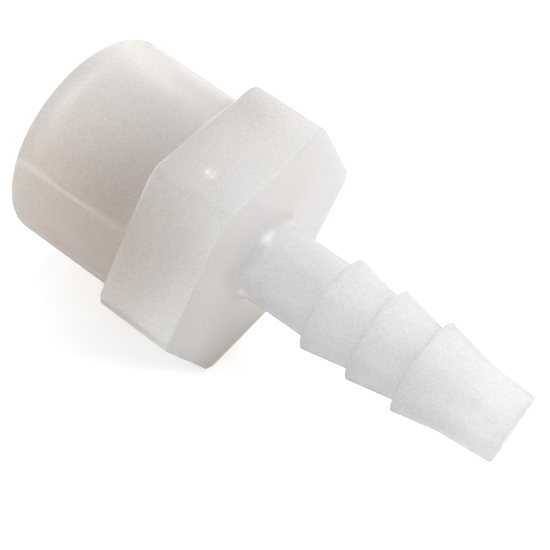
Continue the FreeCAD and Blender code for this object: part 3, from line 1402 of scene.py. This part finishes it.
@dataclass(frozen=True)
class Studio:
    """The floor, the lamps, the backdrop and the camera.

    Args:
        floor: how the floor looks.
        floor_height: height of the floor, in metres.
        floor_half: half the floor's width, in metres.
        camera_place: where the camera stands, in metres.
        camera_aim: what it looks at, in metres.
        camera_roll: how far it is rolled about its line of sight, in degrees.
        lens: its focal length in millimetres.
        sensor: width of its sensor in millimetres.
        clip: nearest and farthest distance that it sees, in metres.
        world_light: strength of the backdrop's light on the object.
        world_mirrored: strength of the backdrop where a surface reflects it.
        world_through: strength of the backdrop where it shows through the plastic.
        lamps: the lamps.
    """

    floor: FloorFinish = FloorFinish()
    floor_height: float = -0.01032
    floor_half: float = 3.0
    camera_place: tuple[float, float, float] = (0.045354, -0.045203, 0.069794)
    camera_aim: tuple[float, float, float] = (0.020484, -0.000795, 0.0)
    camera_roll: float = 10.640
    lens: float = 71.368
    sensor: float = 36.0
    clip: tuple[float, float] = (0.005, 20.0)
    world_light: float = 0.17
    world_mirrored: float = 0.02
    world_through: float = 0.76
    lamps: tuple[SoftBox, ...] = (
        SoftBox("key", azimuth=21.8, elevation=41.2, power=1.67, distance=0.50, size=(0.18, 0.18)),
        SoftBox("overhead", azimuth=45.0, elevation=80.2, power=0.44, distance=0.40, size=(0.36, 0.30)),
        SoftBox("low_front", azimuth=270.0, elevation=15.0, power=0.65),
        SoftBox("low_back_left", azimuth=135.0, elevation=15.0, power=1.36),
        SoftBox("back", azimuth=90.0, elevation=50.0, power=0.68),
        SoftBox("low_back", azimuth=90.0, elevation=15.0, power=1.14),
        SoftBox("low_left", azimuth=180.0, elevation=15.0, power=1.07),
        SoftBox(
            "low_strip",
            azimuth=270.0,
            elevation=-90.0,
            power=3.2,
            distance=0.0098,
            size=(0.70, 0.15),
            aim=(-0.10, -0.204, 0.0),
            only_gloss=True,
        ),
    )

    def make_floor(self) -> bpy.types.Object:
        """Makes the pale floor, which stays white to the camera and keeps the shadow.

        Returns:
            The floor's object.
        """
        half = self.floor_half
        corners = np.array([[-half, -half], [half, -half], [half, half], [-half, half]])
        height = np.full((4, 1), self.floor_height)
        mesh = bpy.data.meshes.new("floor")
        mesh.from_pydata(np.hstack([corners, height]).tolist(), [], [(0, 1, 2, 3)])
        mesh.materials.append(self.make_floor_material())
        floor = bpy.data.objects.new("floor", mesh)
        bpy.context.scene.collection.objects.link(floor)
        return floor

    def make_floor_material(self) -> bpy.types.Material:
        """Makes the floor's material: a matt colour with white of its own, by the kind of ray.

        Returns:
            The material.
        """
        finish = self.floor
        material = bpy.data.materials.new(finish.name)
        material.use_nodes = True
        wiring = Wiring(material.node_tree)
        result = wiring.node("ShaderNodeOutputMaterial", "result")
        matt = wiring.node("ShaderNodeBsdfDiffuse", "matt")
        wiring.feed((*finish.colour, 1.0), matt.inputs["Color"])
        away = wiring.node("ShaderNodeVectorMath", "away from the object", operation="LENGTH")
        wiring.feed(wiring.node("ShaderNodeTexCoord", "place").outputs["Object"], away.inputs[0])
        seen = wiring.ranged("seen", away.outputs["Value"], finish.fading, (finish.seen, finish.seen_far))
        strengths = {
            "Is Camera Ray": seen,
            "Is Glossy Ray": finish.mirrored,
            "Is Transmission Ray": finish.through,
        }
        glow = wiring.node("ShaderNodeEmission", "seen white")
        wiring.feed(by_ray(wiring, strengths, 0.0), glow.inputs["Strength"])
        both = wiring.node("ShaderNodeAddShader", "both")
        wiring.feed(matt.outputs["BSDF"], both.inputs[0])
        wiring.feed(glow.outputs["Emission"], both.inputs[1])
        wiring.feed(both.outputs["Shader"], result.inputs["Surface"])
        return material

    def make_world(self) -> bpy.types.World:
        """Makes the backdrop: white where it is seen, and an even, weaker light on the object.

        Returns:
            The world.
        """
        world = bpy.data.worlds.new("studio")
        world.use_nodes = True
        wiring = Wiring(world.node_tree)
        result = wiring.node("ShaderNodeOutputWorld", "result")
        light = wiring.node("ShaderNodeBackground", "light")
        wiring.feed((1.0, 1.0, 1.0, 1.0), light.inputs["Color"])
        strengths = {
            "Is Glossy Ray": self.world_mirrored,
            "Is Transmission Ray": self.world_through,
            "Is Camera Ray": 1.0,
        }
        wiring.feed(by_ray(wiring, strengths, self.world_light), light.inputs["Strength"])
        wiring.feed(light.outputs["Background"], result.inputs["Surface"])
        bpy.context.scene.world = world
        return world

    def make_camera(self) -> bpy.types.Object:
        """Makes the camera: it looks from its place to its aim and is rolled about that line.

        Returns:
            The camera's object.
        """
        data = bpy.data.cameras.new("camera")
        data.sensor_width = self.sensor
        data.lens = self.lens
        data.clip_start, data.clip_end = self.clip
        camera = bpy.data.objects.new("camera", data)
        look = (Vector(self.camera_aim) - Vector(self.camera_place)).normalized()
        right = look.cross(Vector((0.0, 0.0, 1.0))).normalized()
        up = right.cross(look)
        roll = math.radians(self.camera_roll)
        rolled = right * math.cos(roll) + up * math.sin(roll)
        upright = up * math.cos(roll) - right * math.sin(roll)
        turn = Matrix((rolled, upright, -look)).transposed()
        camera.matrix_world = Matrix.Translation(Vector(self.camera_place)) @ turn.to_4x4()
        bpy.context.scene.collection.objects.link(camera)
        bpy.context.scene.camera = camera
        return camera

    def build(self) -> None:
        """Makes everything that isn't part of the fitting."""
        self.make_floor()
        self.make_world()
        for lamp in self.lamps:
            lamp.make()
        self.make_camera()
        bpy.context.scene.view_settings.view_transform = "Standard"


def main() -> None:
    """Builds the fitting and the studio, and reports what was made."""
    logging.basicConfig(level=logging.INFO, format="%(message)s")
    fitting = Fitting()
    piece = fitting.build()
    fitting.dress(piece)
    LOG.info("%s: %d faces", piece.name, len(piece.data.polygons))
    Studio().build()


if __name__ == "__main__":
    main()
